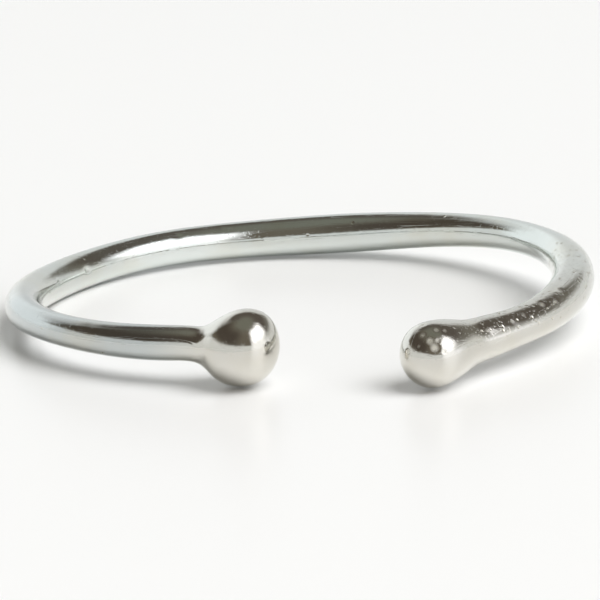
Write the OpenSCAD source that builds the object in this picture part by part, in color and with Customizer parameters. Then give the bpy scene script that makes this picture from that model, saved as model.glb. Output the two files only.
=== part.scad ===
// Open adjustable ring of round silver wire, its two ends melted into balls.
// It lies on its side, as it rests on a table: the gap faces -Y and the back of the band +Y.

/* [Band] */
// Inside diameter of the band, where the finger goes
inside_d = 17.4; // [15:0.1:20]
// Diameter of the wire
wire_d = 1.3; // [1.1:0.05:1.5]

/* [Ends] */
// Diameter of the right ball
right_ball_d = 2.3; // [2.1:0.05:2.6]
// Radius of the hollow neck between the right ball and the wire
right_neck_r = 9.5; // [4:0.5:12]
// Diameter of the left ball
left_ball_d = 2.6; // [2.2:0.05:2.8]
// Radius of the hollow neck between the left ball and the wire
left_neck_r = 2.1; // [1.5:0.1:5]

/* [Hidden] */
$fn = 36;

// The wire was bent by hand, one bend after another from the right ball round the back to the left ball.
// Columns: how far the bend turns in degrees, its radius as a share of an even band's,
// how far its inner side is lifted against the bend before it in degrees,
// and how thick its wire is as a share of the wire's diameter
SWEEP = 0;
SHARE = 1;
LIFT = 2;
THICK = 3;
bends = [
    [23, 1.02, 0, 1.03],
    [40, 1.09, -4, 1.06],
    [40, 1.02, -9, 0.97],
    [40, 0.96, 17, 1.03],
    [40, 1.00, -9, 1.00],
    [40, 1.05, 2, 0.97],
    [40, 0.89, 0, 0.93],
    [35, 0.86, -5, 0.96]
];

// The band touches the table at the end of this bend
resting_bend = 4;

// Each bend starts this many degrees early, so that it overlaps the one before it
lap = 0.5;

// Each ball overlaps its neck by this much, so that the two meet in a clean line
neck_bite = 0.002;

// Sides of a neck's hollow, which is a short arc of a large circle
neck_sides = 180;

// Degrees between the points that stand for the wire where its lowest place and its box are found
point_step = 2;

quarter_turn = 90;
wire_r = wire_d / 2;
even_r = (inside_d + wire_d) / 2;
count = len(bends);

function shift(v) = [[1, 0, 0, v.x], [0, 1, 0, v.y], [0, 0, 1, v.z], [0, 0, 0, 1]];
function turn_x(a) = [[1, 0, 0, 0], [0, cos(a), -sin(a), 0], [0, sin(a), cos(a), 0], [0, 0, 0, 1]];
function turn_z(a) = [[cos(a), -sin(a), 0, 0], [sin(a), cos(a), 0, 0], [0, 0, 1, 0], [0, 0, 0, 1]];
function place(m, v) = let (p = m * [v.x, v.y, v.z, 1]) [p.x, p.y, p.z];
function unit(v) = v / norm(v);

function radius(i) = bends[i][SHARE] * even_r;
function wire_r_at(i) = bends[i][THICK] * wire_r;

// Middle of the wire after a turn of a degrees in bend i, in the bend's own frame:
// it sets out along +X and turns towards +Y
function on_bend(i, a) = [radius(i) * sin(a), radius(i) * (1 - cos(a)), 0];

// Frame in which bend i starts, and the frame in which it ends
function bend_start(i) = bend_end(i - 1) * turn_x(bends[i][LIFT]);
function bend_end(i) = i < 0
    ? shift([0, 0, 0])
    : bend_start(i) * shift(on_bend(i, bends[i][SWEEP])) * turn_z(bends[i][SWEEP]);

// Distance from the end of the wire to the middle of its ball, where the neck's hollow
// touches both the ball and the wire
function neck_len(ball_r, neck_r) = sqrt((ball_r + neck_r - neck_bite) ^ 2 - (wire_r + neck_r) ^ 2);

right_ball_r = right_ball_d / 2;
left_ball_r = left_ball_d / 2;
right_ball = [-neck_len(right_ball_r, right_neck_r), 0, 0];
left_ball = place(bend_end(count - 1), [neck_len(left_ball_r, left_neck_r), 0, 0]);
back = place(bend_end(resting_bend), [0, 0, 0]);

// The ring rests on the back of the band and on both balls:
// up is square to the plane that touches all three
to_right = right_ball - back;
to_left = left_ball - back;
rise_right = right_ball_r - wire_r_at(resting_bend);
rise_left = left_ball_r - wire_r_at(resting_bend);
spread = (to_left * to_left) * (to_right * to_right) - (to_left * to_right) ^ 2;
lean = ((rise_left * (to_right * to_right) - rise_right * (to_left * to_right)) * to_left
    + (rise_right * (to_left * to_left) - rise_left * (to_left * to_right)) * to_right) / spread;
up = lean + sqrt(1 - lean * lean) * unit(cross(to_left, to_right));
between = right_ball - left_ball;
across = unit(between - (between * up) * up);
ahead = cross(up, across);
level = [concat(across, 0), concat(ahead, 0), concat(up, 0), [0, 0, 0, 1]];

// Points along the middle of the levelled wire, each with the radius of the metal round it
POINT = 0;
METAL = 1;
band_points = concat(
    [[place(level, right_ball), right_ball_r], [place(level, left_ball), left_ball_r]],
    [
        for (i = [0:count - 1], a = [0:point_step:bends[i][SWEEP]])
            [place(level * bend_start(i), on_bend(i, a)), wire_r_at(i)]
    ]
);
function low(axis) = min([for (p = band_points) p[POINT][axis] - p[METAL]]);
function high(axis) = max([for (p = band_points) p[POINT][axis] + p[METAL]]);
function middle(axis) = (low(axis) + high(axis)) / 2;
settle = shift([-middle(0), -middle(1), -low(2)]) * level;

// One bend of the wire, in its own frame
module bend(i) {
    translate([0, radius(i), 0])
        rotate([0, 0, -quarter_turn - lap])
            rotate_extrude(angle = bends[i][SWEEP] + lap)
                translate([radius(i), 0])
                    circle(r = wire_r_at(i));
}

// Ball with its neck, standing on the end of the wire with the ball at the top
module ball_end(ball_r, neck_r) {
    length = neck_len(ball_r, neck_r);
    meet = length * neck_r / (ball_r + neck_r);
    stub = even_r * sin(lap);
    rotate_extrude() {
        intersection() {
            translate([0, length])
                circle(r = ball_r);
            translate([0, length - ball_r])
                square([ball_r, 2 * ball_r]);
        }
        difference() {
            square([ball_r, meet]);
            translate([wire_r + neck_r, 0])
                circle(r = neck_r, $fn = neck_sides);
        }
        translate([0, -stub])
            square([wire_r, stub]);
    }
}

module ball_ended_band() {
    color("silver")
        multmatrix(settle) {
            rotate([0, -quarter_turn, 0])
                ball_end(right_ball_r, right_neck_r);
            for (i = [0:count - 1])
                multmatrix(bend_start(i))
                    bend(i);
            multmatrix(bend_end(count - 1))
                rotate([0, quarter_turn, 0])
                    ball_end(left_ball_r, left_neck_r);
        }
}

ball_ended_band();
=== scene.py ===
# Looks of an open adjustable ring: one length of round silver wire, bent by hand,
# with both ends melted into balls. Lengths are in millimetres until the mesh is made.
import bpy
import numpy as np
from mathutils import Matrix, Vector


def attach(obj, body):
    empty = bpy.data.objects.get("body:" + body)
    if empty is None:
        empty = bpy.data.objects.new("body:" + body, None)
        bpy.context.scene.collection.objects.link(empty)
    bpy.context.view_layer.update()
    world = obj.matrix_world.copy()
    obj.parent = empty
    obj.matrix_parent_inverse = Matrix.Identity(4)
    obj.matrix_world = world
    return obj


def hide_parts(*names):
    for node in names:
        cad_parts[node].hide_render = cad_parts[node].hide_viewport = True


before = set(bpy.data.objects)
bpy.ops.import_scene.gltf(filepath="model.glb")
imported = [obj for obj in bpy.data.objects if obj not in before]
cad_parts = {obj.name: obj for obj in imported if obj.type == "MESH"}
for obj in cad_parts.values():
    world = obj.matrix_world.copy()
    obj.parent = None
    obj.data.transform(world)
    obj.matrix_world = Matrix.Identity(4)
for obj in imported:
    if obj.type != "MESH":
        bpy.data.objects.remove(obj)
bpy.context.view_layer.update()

millimetre = 0.001               # in metres, Blender's unit
centimetre = 10.0                # in millimetres, the unit of the wire's own map
scene = bpy.context.scene


def direction(azimuth, elevation):
    # unit vector for two angles in degrees: the azimuth is counted from straight behind the ring
    # to the right, the elevation from the table up
    turn, rise = np.radians([azimuth, elevation])
    return Vector((np.sin(turn) * np.cos(rise), np.cos(turn) * np.cos(rise), np.sin(rise)))


# the camera, from which side and how far it sees the ring
shot = {
    "azimuth": 8.8,               # degrees to the right of straight in front of the gap
    "elevation": 14.2,            # degrees above the table
    "roll": 1.6,                  # degrees clockwise, as the photo is tilted
    "distance": 190.0,
    "aim": (-0.03, 0.15, 0.68),
    "lens": 333.0,
    "sensor": 36.0,
    "sees": (10.0, 20000.0),      # from how near to how far
}


def placeCamera(shot):
    # from its place the camera looks at the aim, upright and then turned by the roll
    place = direction(180 - shot["azimuth"], shot["elevation"]) * shot["distance"] * millimetre
    ahead = (Vector(shot["aim"]) * millimetre - place).normalized()
    roll = Matrix.Rotation(-np.radians(shot["roll"]), 3, "Z")
    turn = ahead.to_track_quat("-Z", "Y").to_matrix() @ roll
    data = bpy.data.cameras.new("photoCamera")
    data.lens, data.sensor_width = shot["lens"], shot["sensor"]
    data.clip_start, data.clip_end = [reach * millimetre for reach in shot["sees"]]
    camera = bpy.data.objects.new("photoCamera", data)
    camera.matrix_world = Matrix.Translation(place) @ turn.to_4x4()
    scene.collection.objects.link(camera)
    scene.camera = camera


placeCamera(shot)
print("camera placed")


# the band: one wire bent by hand, counted from the right end round the back to the left end
wireBand = {
    "inside": 17.4,               # across the finger hole, were the band even
    "wire": 1.3,                  # nominal thickness of the wire
    # each bend by hand: degrees turned, radius as a share of an even band's, degrees of lift
    "bends": ((23, 1.02, 0), (40, 1.09, -4), (40, 1.02, -9), (40, 0.96, 17),
              (40, 1.00, -9), (40, 1.05, 2), (40, 0.89, 0), (35, 0.86, -5)),
    "restsOn": 4,                 # the band touches the table at the end of this bend, counted from 0
    # how thick the wire really is: place along it, thickness
    "thickness": ((0.5, 1.33), (3, 1.36), (6, 1.44), (9, 1.37), (12, 1.18), (15, 1.16), (18, 1.27),
                  (21, 1.4), (24, 1.33), (27, 1.28), (30, 1.27), (33, 1.31), (36, 1.32), (39, 1.19),
                  (42, 1.07), (45, 1.13)),
    # how far it rises or sinks out of its even curve: place along it, rise
    "sway": ((0.5, -0.03), (4, -0.02), (8, 0.02), (12, 0), (16, -0.01), (20, 0.01), (24, 0.01),
             (28, 0.04), (32, -0.04), (36, -0.045), (40, 0.045), (44, -0.01)),
    # the melted ends: nominal thickness of the ball, radius of its hollow neck, how far the tip is from
    # the ball's middle; distance from that middle towards the wire, with the radius and the rise there
    "rightEnd": {
        "ball": 2.3, "neck": 9.5, "tip": 1.05,
        "profile": ((-0.75, 0.76), (-0.4, 1.03), (0, 1.1), (0.5, 1.05), (1, 0.95), (1.6, 0.8),
                    (2.4, 0.73)),
        "sway": ((-0.8, -0.03), (0, -0.025), (0.8, -0.015), (1.6, -0.025)),
    },
    "leftEnd": {
        "ball": 2.6, "neck": 2.1, "tip": 1.24,
        "profile": ((-0.85, 1.005), (-0.45, 1.23), (0, 1.285), (0.35, 1.225), (0.65, 1.105),
                    (0.93, 0.92), (1.12, 0.76), (1.3, 0.65), (1.6, 0.59), (2, 0.585), (2.4, 0.59)),
        "sway": ((-1.1, 0.055), (-0.5, 0.035), (0, -0.01), (0.4, -0.055), (0.8, -0.095),
                 (1.2, -0.04), (1.6, 0.03), (2.4, 0.03)),
    },
    "soften": 0.15,               # thickness and rise are averaged over this length, so no point shows
    "fineStep": 0.01,             # the step in which both are worked out
    "beyond": 0.6,                # and how far beyond the tips
    # dents: place along the wire, degrees round it (0 outwards, 90 up), reach, depth
    "dents": (
        (-3.84, 75, 0.10, 0.022), (-3.84, 53, 0.13, 0.026), (-3.47, 64, 0.10, 0.022),
        (-3.86, 34, 0.15, 0.026), (-3.64, 20, 0.08, 0.018), (-3.2, 56, 0.10, 0.018),
        (-4.22, 112, 0.09, 0.018), (-3.5, 95, 0.11, 0.016), (-3.68, 44, 0.08, 0.018),
        (-4.1, 64, 0.07, 0.016),
        (51.1, -20, 0.08, 0.012), (50.0, 66, 0.10, 0.006),
        (32.2, 163, 0.13, 0.042), (27.4, 127, 0.12, 0.03), (34.4, 158, 0.1, 0.018),
        (25.6, 120, 0.14, 0.012),
        (-1.1, 36, 0.12, 0.012), (-0.55, 48, 0.10, 0.012), (0.1, 41, 0.13, 0.016),
        (0.8, 52, 0.12, 0.014), (1.9, 60, 0.14, 0.022), (2.6, 46, 0.12, 0.016),
        (3.4, 64, 0.13, 0.016), (5.4, 72, 0.12, 0.012),
        (44.6, 40, 0.3, 0.008), (38.5, 60, 0.35, 0.01), (17.5, 120, 0.3, 0.008),
    ),
    "along": 500,                 # rings along the plain wire
    "atEnds": 80,                 # places from each tip to it, closest together at the tip
    "endLength": 3.5,             # how far from a tip the plain wire begins
    "around": 128,                # faces round the wire
}


def turnX(angle):
    # matrix of a turn about X by an angle in radians
    c, s = np.cos(angle), np.sin(angle)
    return np.array([[1, 0, 0], [0, c, -s], [0, s, c]])


def turnZ(angle):
    # matrix of a turn about Z by an angle in radians
    c, s = np.cos(angle), np.sin(angle)
    return np.array([[c, -s, 0], [s, c, 0], [0, 0, 1]])


def unit(v):
    # each vector divided by its own length
    return v / np.linalg.norm(v, axis=-1, keepdims=True)


def neckLength(ball, neck, wire):
    # distance from a ball's middle to where its hollow neck has become plain wire:
    # the third side of a right triangle with the sides ball + neck and wire + neck
    return np.sqrt((ball + neck) ** 2 - (wire + neck) ** 2)


def smoothCurve(x, y):
    # natural cubic curve through the points (x, y), straight beyond its ends; gives value and slope.
    # curl, its second slope at each point, is what makes the slopes on both sides of a point the same
    x, y = np.asarray(x, float), np.asarray(y, float)
    step = np.diff(x)
    wide = step[:, None] if y.ndim > 1 else step
    equations, right = np.eye(len(x)), np.zeros_like(y)
    inner = np.arange(1, len(x) - 1)
    equations[inner, inner - 1], equations[inner, inner + 1] = step[:-1], step[1:]
    equations[inner, inner] = 2 * (step[:-1] + step[1:])
    right[1:-1] = 6 * np.diff(np.diff(y, axis=0) / wide, axis=0)
    curl = np.linalg.solve(equations, right)

    def at(s):
        k = np.clip(np.searchsorted(x, s) - 1, 0, len(x) - 2)
        h, t = step[k], s - x[k]
        if y.ndim > 1:
            h, t = h[:, None], t[:, None]
        start = (y[k + 1] - y[k]) / h - h * (2 * curl[k] + curl[k + 1]) / 6
        change = curl[k + 1] - curl[k]
        inside = np.clip(t, 0, h)
        value = y[k] + start * inside + curl[k] * inside ** 2 / 2 + change * inside ** 3 / (6 * h)
        slope = start + curl[k] * inside + change * inside ** 2 / (2 * h)
        return value + slope * (t - inside), slope
    return at


def bandPath(band):
    # knots on the middle of the wire: arcs radius * (sin(angle), 1 - cos(angle)) laid end to end, each
    # turned about the wire by its lift, then levelled so that its back and both balls touch the table
    rightEnd, leftEnd = band["rightEnd"], band["leftEnd"]
    evenRadius, wire = (band["inside"] + band["wire"]) / 2, band["wire"] / 2
    turn, point, station = np.eye(3), np.zeros(3), 0.0
    stations, knots = [np.zeros(1)], [np.zeros((1, 3))]
    for i, (sweep, share, lift) in enumerate(band["bends"]):
        turn = turn @ turnX(np.radians(lift))
        angle, radius = np.radians([sweep / 2, sweep]), share * evenRadius
        arc = np.stack([radius * np.sin(angle), radius * (1 - np.cos(angle)), 0 * angle], 1)
        arc = point + arc @ turn.T
        stations.append(station + angle * radius)
        knots.append(arc)
        point, station = arc[-1], station + angle[-1] * radius
        turn = turn @ turnZ(np.radians(sweep))
        if i == band["restsOn"]:
            back = point
    rightLength = neckLength(rightEnd["ball"] / 2, rightEnd["neck"], wire)
    leftLength = neckLength(leftEnd["ball"] / 2, leftEnd["neck"], wire)
    rightBall, leftBall = np.array([-rightLength, 0, 0]), point + turn[:, 0] * leftLength
    stations = np.concatenate([[-rightLength, -rightLength / 2], *stations,
                               [station + leftLength / 2, station + leftLength]])
    knots = np.vstack([rightBall, rightBall / 2, *knots, (point + leftBall) / 2, leftBall])

    # up is square to the plane that touches all three: along it each ball's middle is higher than
    # the back's by the difference of their radii
    toRight, toLeft = rightBall - back, leftBall - back
    riseRight, riseLeft = rightEnd["ball"] / 2 - wire, leftEnd["ball"] / 2 - wire
    rr, ll, lr = toRight @ toRight, toLeft @ toLeft, toLeft @ toRight
    leanLeft, leanRight = riseLeft * rr - riseRight * lr, riseRight * ll - riseLeft * lr
    lean = (leanLeft * toLeft + leanRight * toRight) / (ll * rr - lr ** 2)
    up = lean + np.sqrt(1 - lean @ lean) * unit(np.cross(toLeft, toRight))
    between = rightBall - leftBall
    across = unit(between - (between @ up) * up)
    level = np.array([across, np.cross(up, across), up])
    return stations, knots @ level.T


def softened(values, step, reach):
    # average of the neighbours within four times the reach, each weighted by
    # exp(-distance^2 / (2 reach^2)); the ends run on straight
    count = int(4 * reach / step)
    distance = np.arange(-count, count + 1) * step
    weight = np.exp(-0.5 * (distance / reach) ** 2)
    run = np.arange(1, count + 1)
    before = values[0] - (values[1] - values[0]) * run[::-1]
    after = values[-1] + (values[-1] - values[-2]) * run
    return np.convolve(np.concatenate([before, values, after]), weight / weight.sum(), "valid")


def bandOutline(band, rightBall, leftBall):
    # radius(s)^2 is a smooth curve through the given radii squared and through nought at both tips,
    # which makes a tip as round as an egg's; the sway is a smooth curve through its own points
    rightEnd, leftEnd, step = band["rightEnd"], band["leftEnd"], band["fineStep"]

    def withEnds(name, points):
        # the points of both ends laid before and after those of the wire
        right = np.array(rightEnd[name]) + [rightBall, 0]
        left = (np.array(leftEnd[name]) * [-1, 1] + [leftBall, 0])[::-1]
        return np.vstack([right, points, left])
    radii = withEnds("profile", np.array(band["thickness"]) * [1, 0.5])
    radii = np.vstack([[rightBall - rightEnd["tip"], 0], radii, [leftBall + leftEnd["tip"], 0]])
    sways = withEnds("sway", band["sway"])
    fine = np.arange(radii[0, 0] - band["beyond"], radii[-1, 0] + band["beyond"], step)
    squared = softened(smoothCurve(radii[:, 0], radii[:, 1] ** 2)(fine)[0], step, band["soften"])
    inSway = np.clip(fine, sways[0, 0], sways[-1, 0])
    sway = softened(smoothCurve(sways[:, 0], sways[:, 1])(inSway)[0], step, band["soften"])
    few = slice(None, None, 10)       # every tenth step is enough for the sway's curve

    # the tips are where the radius squared passes through nought
    metal = np.nonzero(squared > 0)[0]
    first, last = metal[0], metal[-1]
    firstTip = fine[first] - step * squared[first] / (squared[first] - squared[first - 1])
    lastTip = fine[last] + step * squared[last] / (squared[last] - squared[last + 1])
    angle = np.linspace(0, np.pi / 2, band["atEnds"])[1:-1]
    end = band["endLength"] * (1 - np.cos(angle))
    plain = np.linspace(firstTip + band["endLength"], lastTip - band["endLength"], band["along"])
    s = np.concatenate([firstTip + end, plain, lastTip - end[::-1]])
    radius = np.sqrt(np.interp(s, fine, squared))
    return s, radius, np.array([firstTip, lastTip]), smoothCurve(fine[few], sway[few])


def bandSurface(band):
    # surface(s, turn) = middle(s) + radius(s) * (cos(turn) * side(s) + sin(turn) * up(s)); each dent
    # pushes it towards the middle by depth * exp(-(distance / reach)^2)
    stations, knots = bandPath(band)
    s, radius, tips, sway = bandOutline(band, stations[0], stations[-1])
    middle = smoothCurve(stations, knots)

    def frameAt(s):
        # middle of the wire, raised by the sway, and the directions to its side and up
        centre, slope = middle(s)
        along = unit(slope)
        side = unit(np.cross(along, [0, 0, 1]))
        up = np.cross(side, along)
        return centre + up * sway(s)[0][:, None], side, up
    centre, side, up = frameAt(s)
    turn = np.linspace(0, 2 * np.pi, band["around"], endpoint=False) - np.pi / 2
    spoke = (np.cos(turn)[None, :, None] * side[:, None, :]
             + np.sin(turn)[None, :, None] * up[:, None, :])
    points = centre[:, None, :] + radius[:, None, None] * spoke
    push = np.zeros(points.shape[:2])
    for place, degrees, reach, depth in band["dents"]:
        offTurn = (turn - np.radians(degrees) + np.pi) % (2 * np.pi) - np.pi
        at = points[np.argmin(np.abs(s - place)), np.argmin(np.abs(offTurn))]
        push += depth * np.exp(-np.sum((points - at) ** 2, axis=-1) / reach ** 2)
    return s, points - push[..., None] * spoke, frameAt(tips)[0], push


def settle(points):
    # moved so that the middle of the outline is over the origin and the lowest place on the table
    lowest, highest = points.min(0), points.max(0)
    middle = (lowest + highest) / 2
    return points - np.array([middle[0], middle[1], lowest[2]])


def makeTube(name, band, s, surface, tips, push):
    # a grid of rings closed round the wire, with a fan of triangles at each tip
    rings, around = surface.shape[:2]
    points = settle(np.vstack([surface.reshape(-1, 3), tips]))
    ring, turn = np.arange(rings - 1)[:, None, None], np.arange(around)[None, :, None]
    ringStep, turnStep = np.array([0, 1, 1, 0]), np.array([0, 0, 1, 1])
    quads = (ring + ringStep) * around + (turn + turnStep) % around
    edge, after = np.arange(around), np.arange(1, around + 1)
    lastRing, tip = (rings - 1) * around, np.full(around, rings * around)
    firstFan = np.stack([tip, edge, after % around], 1)
    lastFan = np.stack([tip + 1, lastRing + after % around, lastRing + edge], 1)
    corners = np.concatenate([quads.ravel(), firstFan.ravel(), lastFan.ravel()])
    starts = np.concatenate([np.arange(0, quads.size, 4), np.arange(quads.size, len(corners), 3)])
    mesh = bpy.data.meshes.new(name)
    mesh.vertices.add(len(points))
    mesh.vertices.foreach_set("co", (points * millimetre).astype(np.float32).ravel())
    mesh.loops.add(len(corners))
    mesh.loops.foreach_set("vertex_index", corners.astype(np.int32))
    mesh.polygons.add(len(starts))
    mesh.polygons.foreach_set("loop_start", starts.astype(np.int32))
    mesh.polygons.foreach_set("use_smooth", np.ones(len(starts), dtype=bool))
    mesh.update(calc_edges=True)
    mesh.validate()

    # the wire's own map, in centimetres: u along it, v round it from its lowest line
    tipTurn = np.full(around, around / 2)
    turns = np.concatenate([np.broadcast_to(turn + turnStep, quads.shape).ravel(),
                            np.stack([tipTurn, edge, after], 1).ravel(),
                            np.stack([tipTurn, after, edge], 1).ravel()])
    u = np.append(np.repeat(s, around), [s[0], s[-1]])[corners] / centimetre
    v = turns / around * np.pi * band["wire"] / centimetre
    wireMap = mesh.uv_layers.new(name="wireMap")
    wireMap.data.foreach_set("uv", np.stack([u, v], 1).astype(np.float32).ravel())

    # how deep each place is dented, in hundredths of a millimetre
    dented = mesh.attributes.new("dented", "FLOAT", "POINT")
    dented.data.foreach_set("value", np.append(push.ravel() * 100, [0, 0]).astype(np.float32))
    piece = bpy.data.objects.new(name, mesh)
    scene.collection.objects.link(piece)
    return piece


ring = makeTube("silverBand", wireBand, *bandSurface(wireBand))
print("band made:", len(ring.data.polygons), "faces")


def nodeMakers(tree):
    # make adds a node, sets it, links or sets its inputs and gives one of its outputs;
    # math, ramp and blend are the nodes that are used most, made with it
    def make(kind, inputs=(), output=0, **settings):
        node = tree.nodes.new("ShaderNode" + kind)
        for name, value in settings.items():
            setattr(node, name, value)
        for key, value in dict(inputs).items():
            if isinstance(value, bpy.types.NodeSocket):
                tree.links.new(value, node.inputs[key])
            else:
                node.inputs[key].default_value = value
        return node.outputs[output]

    def math(operation, *values):
        return make("Math", enumerate(values), operation=operation)

    def ramp(value, low, high, start=0.0, end=1.0):
        # start at low and before it, end at high and beyond it, a smoothstep between them
        return make("MapRange", {"Value": value, "From Min": low, "From Max": high,
                                 "To Min": start, "To Max": end}, interpolation_type="SMOOTHSTEP")

    def blend(amount, first, second, **settings):
        return make("Mix", {"Factor": amount, "A": first, "B": second}, output="Result",
                    data_type="RGBA", **settings)
    return make, math, ramp, blend


# the metal
silver = {
    # its colours, as it reflects them; the warm front and the green back are a painted reflection tint
    "front": (0.71, 0.695, 0.645),       # warm at the balls, a painted reflection tint
    "back": (0.705, 0.74, 0.715),        # cool and a little green at the back of the band, a painted reflection tint
    "frontToBack": (-6.0, 6.0),          # between these depths the one becomes the other
    "paintedShade": (0.56, 0.59, 0.585),         # painted shade: darker along the left side
    "stain": (0.63, 0.585, 0.46),        # in slow patches and in the pits
    "patchTint": 0.3, "pitTint": 0.6,    # and how strong it is there
    "paintedGlint": (0.92, 0.9, 0.81),        # painted glint: lighter inside the dents near the right end
    # stretches of the wire: where each begins, is full, begins to fade and ends
    "plainWire": (-3.4, -2.4, 48.5, 49.5),
    # where the painted shade lies along the left side
    "wornWire": (-3.2, -1.2, 6.5, 11.5),
    "paintedShadeWire": (36.0, 40.0, 46.5, 49.0),
    "glintAndRoughDentsUntil": (10.0, 14.0),        # the dents beyond are as smooth as the rest and have no painted glint
    "upperSide": (0.85, 1.25),           # how far round from its lowest line the worn side begins
    # scratches: length, distance apart, degrees to the wire, width and depth as shares
    "scratches": ((9, 0.5, 4, 0.016, 1.0), (3, 0.4, 28, 0.012, 0.7), (2, 0.3, -40, 0.010, 0.5)),
    "scratchBreaks": 2.3,                # how often in its length a scratch may break off
    "breakEdges": (0.5, 0.62),
    "scratchStrength": (0.3, 0.6),       # on the balls and on the plain wire
    # pits: size of their cells, share of the cell at which a pit is full and at which it ends,
    # share of the cells that have one, elsewhere and where the wire is worn
    "pit": 0.2, "pitEdges": (0.08, 0.42), "pitShares": (0.008, 0.34),
    # flecks, smears and patches: size, values of their noise between which they come up
    "fleck": 0.09, "fleckEdges": (0.6, 0.72),
    "fleckStrength": (0.25, 0.8),        # elsewhere and where the wire is worn
    "smear": 0.7, "smearEdges": (0.35, 0.7),
    "patch": 2.6, "patchEdges": (0.45, 0.75),
    "dentEdges": (0.1, 2.4),             # depths of a dent, in hundredths of a millimetre
    "roughness": (0.07, 0.17),           # polished best where fingers rub it
    "markRoughness": 0.16, "dentRoughness": 0.52,     # what marks and dents add to it
    # height of each kind of mark as a share of the depth
    "depth": 0.012,
    "scratchHeight": -0.35, "pitHeight": -1.0, "fleckHeight": 0.5, "smearHeight": 0.25,
}


def silverMaterial(silver):
    # polished metal, marked along the wire's own map and by noises in the ring's own space
    material = bpy.data.materials.new("polishedSilver")
    material.use_nodes = True
    tree = material.node_tree
    make, math, ramp, blend = nodeMakers(tree)
    shader = tree.nodes["Principled BSDF"]
    here = make("TexCoord", output="Object")
    wire = make("UVMap", uv_map="wireMap")
    place, upRound = make("SeparateXYZ", {0: wire}), make("SeparateXYZ", {0: wire}, output="Y")
    perMetre = 1 / millimetre

    def noise(vector, scale, detail, rough=0.5):
        return make("TexNoise", {"Vector": vector, "Scale": scale, "Detail": detail, "Roughness": rough})

    def paint(name):
        return (*silver[name], 1)

    def onMap(name):
        # lengths in the map's unit
        return [length / centimetre for length in silver[name]]

    def stretch(name):
        # 1 on a stretch of the wire, 0 beyond it: a smoothstep up times a smoothstep down
        begins, full, fades, ends = onMap(name)
        return math("MULTIPLY", ramp(place, begins, full), ramp(place, fades, ends, start=1.0, end=0.0))

    # scratches: thin lines where a noise, drawn out along the scratch, crosses its middle value,
    # broken off where a second noise is low
    noiseMiddle = 0.5
    lines = 0.0
    for long, apart, degrees, width, deep in silver["scratches"]:
        drawn = make("Mapping", {"Vector": wire, "Rotation": (0, 0, np.radians(degrees)),
                                 "Scale": (centimetre / long, centimetre / apart, 1)})
        near = math("ABSOLUTE", math("SUBTRACT", noise(drawn, 1.0, detail=1.0), noiseMiddle))
        present = ramp(noise(drawn, silver["scratchBreaks"], detail=0.0), *silver["breakEdges"])
        line = math("MULTIPLY", ramp(near, 0.0, width, start=1.0, end=0.0), present)
        lines = math("MAXIMUM", lines, math("MULTIPLY", line, deep))
    lines = math("MULTIPLY", lines, ramp(stretch("plainWire"), 0.0, 1.0, *silver["scratchStrength"]))

    # pits: the middles of scattered cells, most of them on the upper side near the right end
    worn = math("MULTIPLY", stretch("wornWire"), ramp(upRound, *onMap("upperSide")))
    cells = make("TexVoronoi", {"Vector": here, "Scale": perMetre / silver["pit"]}, output="Color")
    elsewhere, whereWorn = [1 - share for share in silver["pitShares"]]
    chosen = math("GREATER_THAN", make("SeparateXYZ", {0: cells}),
                  ramp(worn, 0.0, 1.0, elsewhere, whereWorn))
    pits = ramp(cells.node.outputs["Distance"], *silver["pitEdges"], start=1.0, end=0.0)
    pits = math("MULTIPLY", pits, chosen)
    flecks = ramp(noise(here, perMetre / silver["fleck"], detail=1.0), *silver["fleckEdges"])
    flecks = math("MULTIPLY", flecks, ramp(worn, 0.0, 1.0, *silver["fleckStrength"]))

    # dents, the ones near the right end alone: a painted glint in the colour and more roughness
    dented = ramp(make("Attribute", output="Fac", attribute_name="dented"), *silver["dentEdges"])
    dented = math("MULTIPLY", dented, ramp(place, *onMap("glintAndRoughDentsUntil"), start=1.0, end=0.0))

    # colour: painted reflection tint from front to back, painted shade on the left, slow patches,
    # stained pits, painted glint in the dents
    depthwise = make("SeparateXYZ", {0: here}, output="Y")
    inFront, behind = [depth * millimetre for depth in silver["frontToBack"]]
    # painted reflection tint: the colour turns from warm in front to green at the back
    colour = blend(ramp(depthwise, inFront, behind), paint("front"), paint("back"))
    # painted shade: the left side is darkened
    colour = blend(stretch("paintedShadeWire"), colour, paint("paintedShade"))
    patches = noise(here, perMetre / silver["patch"], detail=3.0, rough=0.6)
    patches = ramp(patches, *silver["patchEdges"], end=silver["patchTint"])
    colour = blend(patches, colour, paint("stain"))
    colour = blend(math("MULTIPLY", pits, silver["pitTint"]), colour, paint("stain"))
    # painted glint: the dents near the right end are lighter
    colour = blend(dented, colour, paint("paintedGlint"))
    tree.links.new(colour, shader.inputs["Base Color"])
    shader.inputs["Metallic"].default_value = 1

    smears = noise(here, perMetre / silver["smear"], detail=4.0, rough=0.6)
    rough = ramp(smears, *silver["smearEdges"], *silver["roughness"])
    marks = math("MULTIPLY", math("MAXIMUM", lines, pits), silver["markRoughness"])
    rough = math("ADD", rough, marks)
    rough = math("ADD", rough, math("MULTIPLY", dented, silver["dentRoughness"]))
    tree.links.new(rough, shader.inputs["Roughness"])

    height = 0.0
    for mark, name in ((lines, "scratch"), (pits, "pit"), (flecks, "fleck"), (smears, "smear")):
        height = math("ADD", height, math("MULTIPLY", mark, silver[name + "Height"]))
    bump = make("Bump", {"Height": height, "Strength": 1.0, "Distance": silver["depth"] * millimetre},
                output="Normal")
    tree.links.new(bump, shader.inputs["Normal"])
    return material


ring.data.materials.append(silverMaterial(silver))
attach(ring, "root")
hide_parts("ball_ended_band")
print("silver applied")


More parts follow.
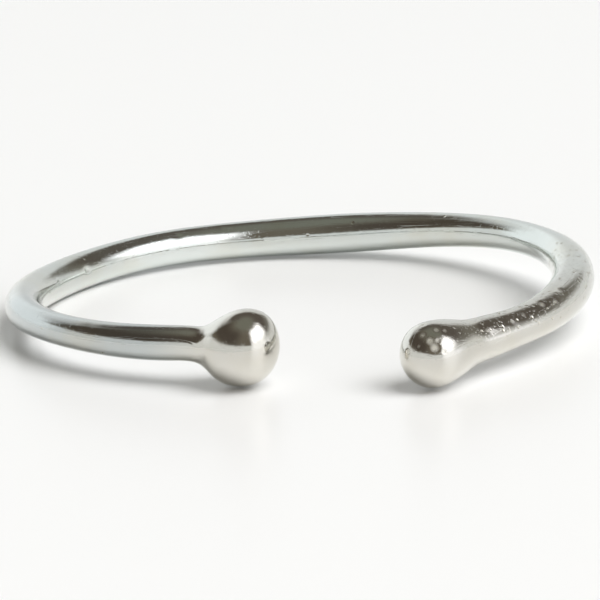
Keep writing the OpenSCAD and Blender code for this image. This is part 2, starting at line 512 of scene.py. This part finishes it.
# the floor, the light and the room that the silver mirrors
studio = {
    "room": (0.8, 0.81, 0.8),
    "roomStrength": 1.0,
    # panels of the room: azimuth from and to, counted from straight behind the ring to the right,
    # elevation from and to, softness of the sides, the lower and the upper edge, all in degrees;
    # how much the lower edge climbs for each degree to the right; the colour
    "panels": (
        ("ceiling", -200, 200, 50, 120, 1, 8, 1, 0, (0.2, 0.2, 0.165)),
        ("sideWall", 14, 150, 15, 66, 8, 7, 8, 0, (0.2, 0.19, 0.165)),
        ("midWall", -18, 12, 4, 28, 8, 4, 6, 0, (0.76, 0.78, 0.78)),
        ("whiteWall", -76, -18, -30, 28, 8, 5, 6, 0, (1.05, 1.09, 1.1)),
        ("backTop", -60, 70, 34, 64, 14, 6, 12, -0.15, (0.12, 0.105, 0.09)),
        ("brownWall", 138, 295, 17, 62, 7, 3, 14, 0.04, (0.165, 0.145, 0.115)),
        ("darkPanel", -165, -57, 23, 58, 22, 5, 14, 0.1, (0.085, 0.07, 0.056)),
        ("windowFoot", 68, 138, -20, 8, 7, 6, 4, 0, (1.25, 1.25, 1.3)),
        ("windowLow", 84, 138, -20, 26, 10, 6, 10, 0, (1.3, 1.3, 1.32)),
        ("window", 74, 138, 22, 55, 13, 10, 11, 0.06, (2.6, 2.6, 2.7)),
    ),
    "floor": (0.9, 0.9, 0.89),
    "floorSize": 3000.0,
    "floorRoughness": 0.3,
    "lampAzimuth": 100, "lampElevation": 60,      # degrees, counted as the panels' are
    "lampDistance": 900.0, "lampSize": 800.0,
    "lampPower": 7.0,             # in watts
}


def makeRoom(studio):
    # the world: its colour depends on the direction alone, azimuth = atan2(x, y), elevation = asin(z);
    # each panel is laid over the ones before it
    world = bpy.data.worlds.new("studioRoom")
    world.use_nodes = True
    tree = world.node_tree
    make, math, ramp, blend = nodeMakers(tree)
    towards = make("TexCoord", output="Generated")
    x, y, z = [make("SeparateXYZ", {0: towards}, output=axis) for axis in "XYZ"]
    azimuthOf = math("DEGREES", math("ARCTAN2", x, y))
    elevationOf = math("DEGREES", math("ARCSINE", z))

    def panel(start, end, low, high, side, lowEdge, highEdge, climb):
        # 1 inside the panel, 0 outside: one smoothstep over the azimuth's distance from the panel's
        # middle and one over the elevation at its lower and at its upper edge, multiplied
        away = math("WRAP", math("SUBTRACT", azimuthOf, (start + end) / 2), 180, -180)
        half = (end - start) / 2
        sides = ramp(math("ABSOLUTE", away), half + side, half - side)
        climbed = math("SUBTRACT", elevationOf, math("MULTIPLY", away, climb))
        lower = ramp(climbed, low - lowEdge, low + lowEdge)
        upper = ramp(elevationOf, high + highEdge, high - highEdge)
        return math("MULTIPLY", sides, math("MULTIPLY", lower, upper))
    colour = (*studio["room"], 1)
    for name, *edges, shade in studio["panels"]:
        colour = blend(panel(*edges), colour, (*shade, 1), label=name)
    background = tree.nodes["Background"]
    tree.links.new(colour, background.inputs["Color"])
    background.inputs["Strength"].default_value = studio["roomStrength"]
    scene.world = world


def makeFloor(studio):
    # a plain square in the table's plane
    half = studio["floorSize"] * millimetre / 2
    square = [(-half, -half, 0), (half, -half, 0), (half, half, 0), (-half, half, 0)]
    mesh = bpy.data.meshes.new("floor")
    mesh.from_pydata(square, [], [(0, 1, 2, 3)])
    material = bpy.data.materials.new("paleFloor")
    material.use_nodes = True
    shader = material.node_tree.nodes["Principled BSDF"]
    shader.inputs["Base Color"].default_value = (*studio["floor"], 1)
    shader.inputs["Roughness"].default_value = studio["floorRoughness"]
    mesh.materials.append(material)
    floor = bpy.data.objects.new("floor", mesh)
    scene.collection.objects.link(floor)


def makeLamp(studio):
    # a wide soft lamp on the window's side, turned to the ring, which the silver doesn't mirror
    data = bpy.data.lights.new("softLamp", "AREA")
    data.shape, data.size, data.energy = "DISK", studio["lampSize"] * millimetre, studio["lampPower"]
    lamp = bpy.data.objects.new("softLamp", data)
    away = direction(studio["lampAzimuth"], studio["lampElevation"])
    lamp.location = away * studio["lampDistance"] * millimetre
    lamp.rotation_euler = away.to_track_quat("Z", "Y").to_euler()
    lamp.visible_glossy = False
    scene.collection.objects.link(lamp)


makeRoom(studio)
makeFloor(studio)
makeLamp(studio)
scene.view_settings.view_transform = "Standard"
print("studio ready")
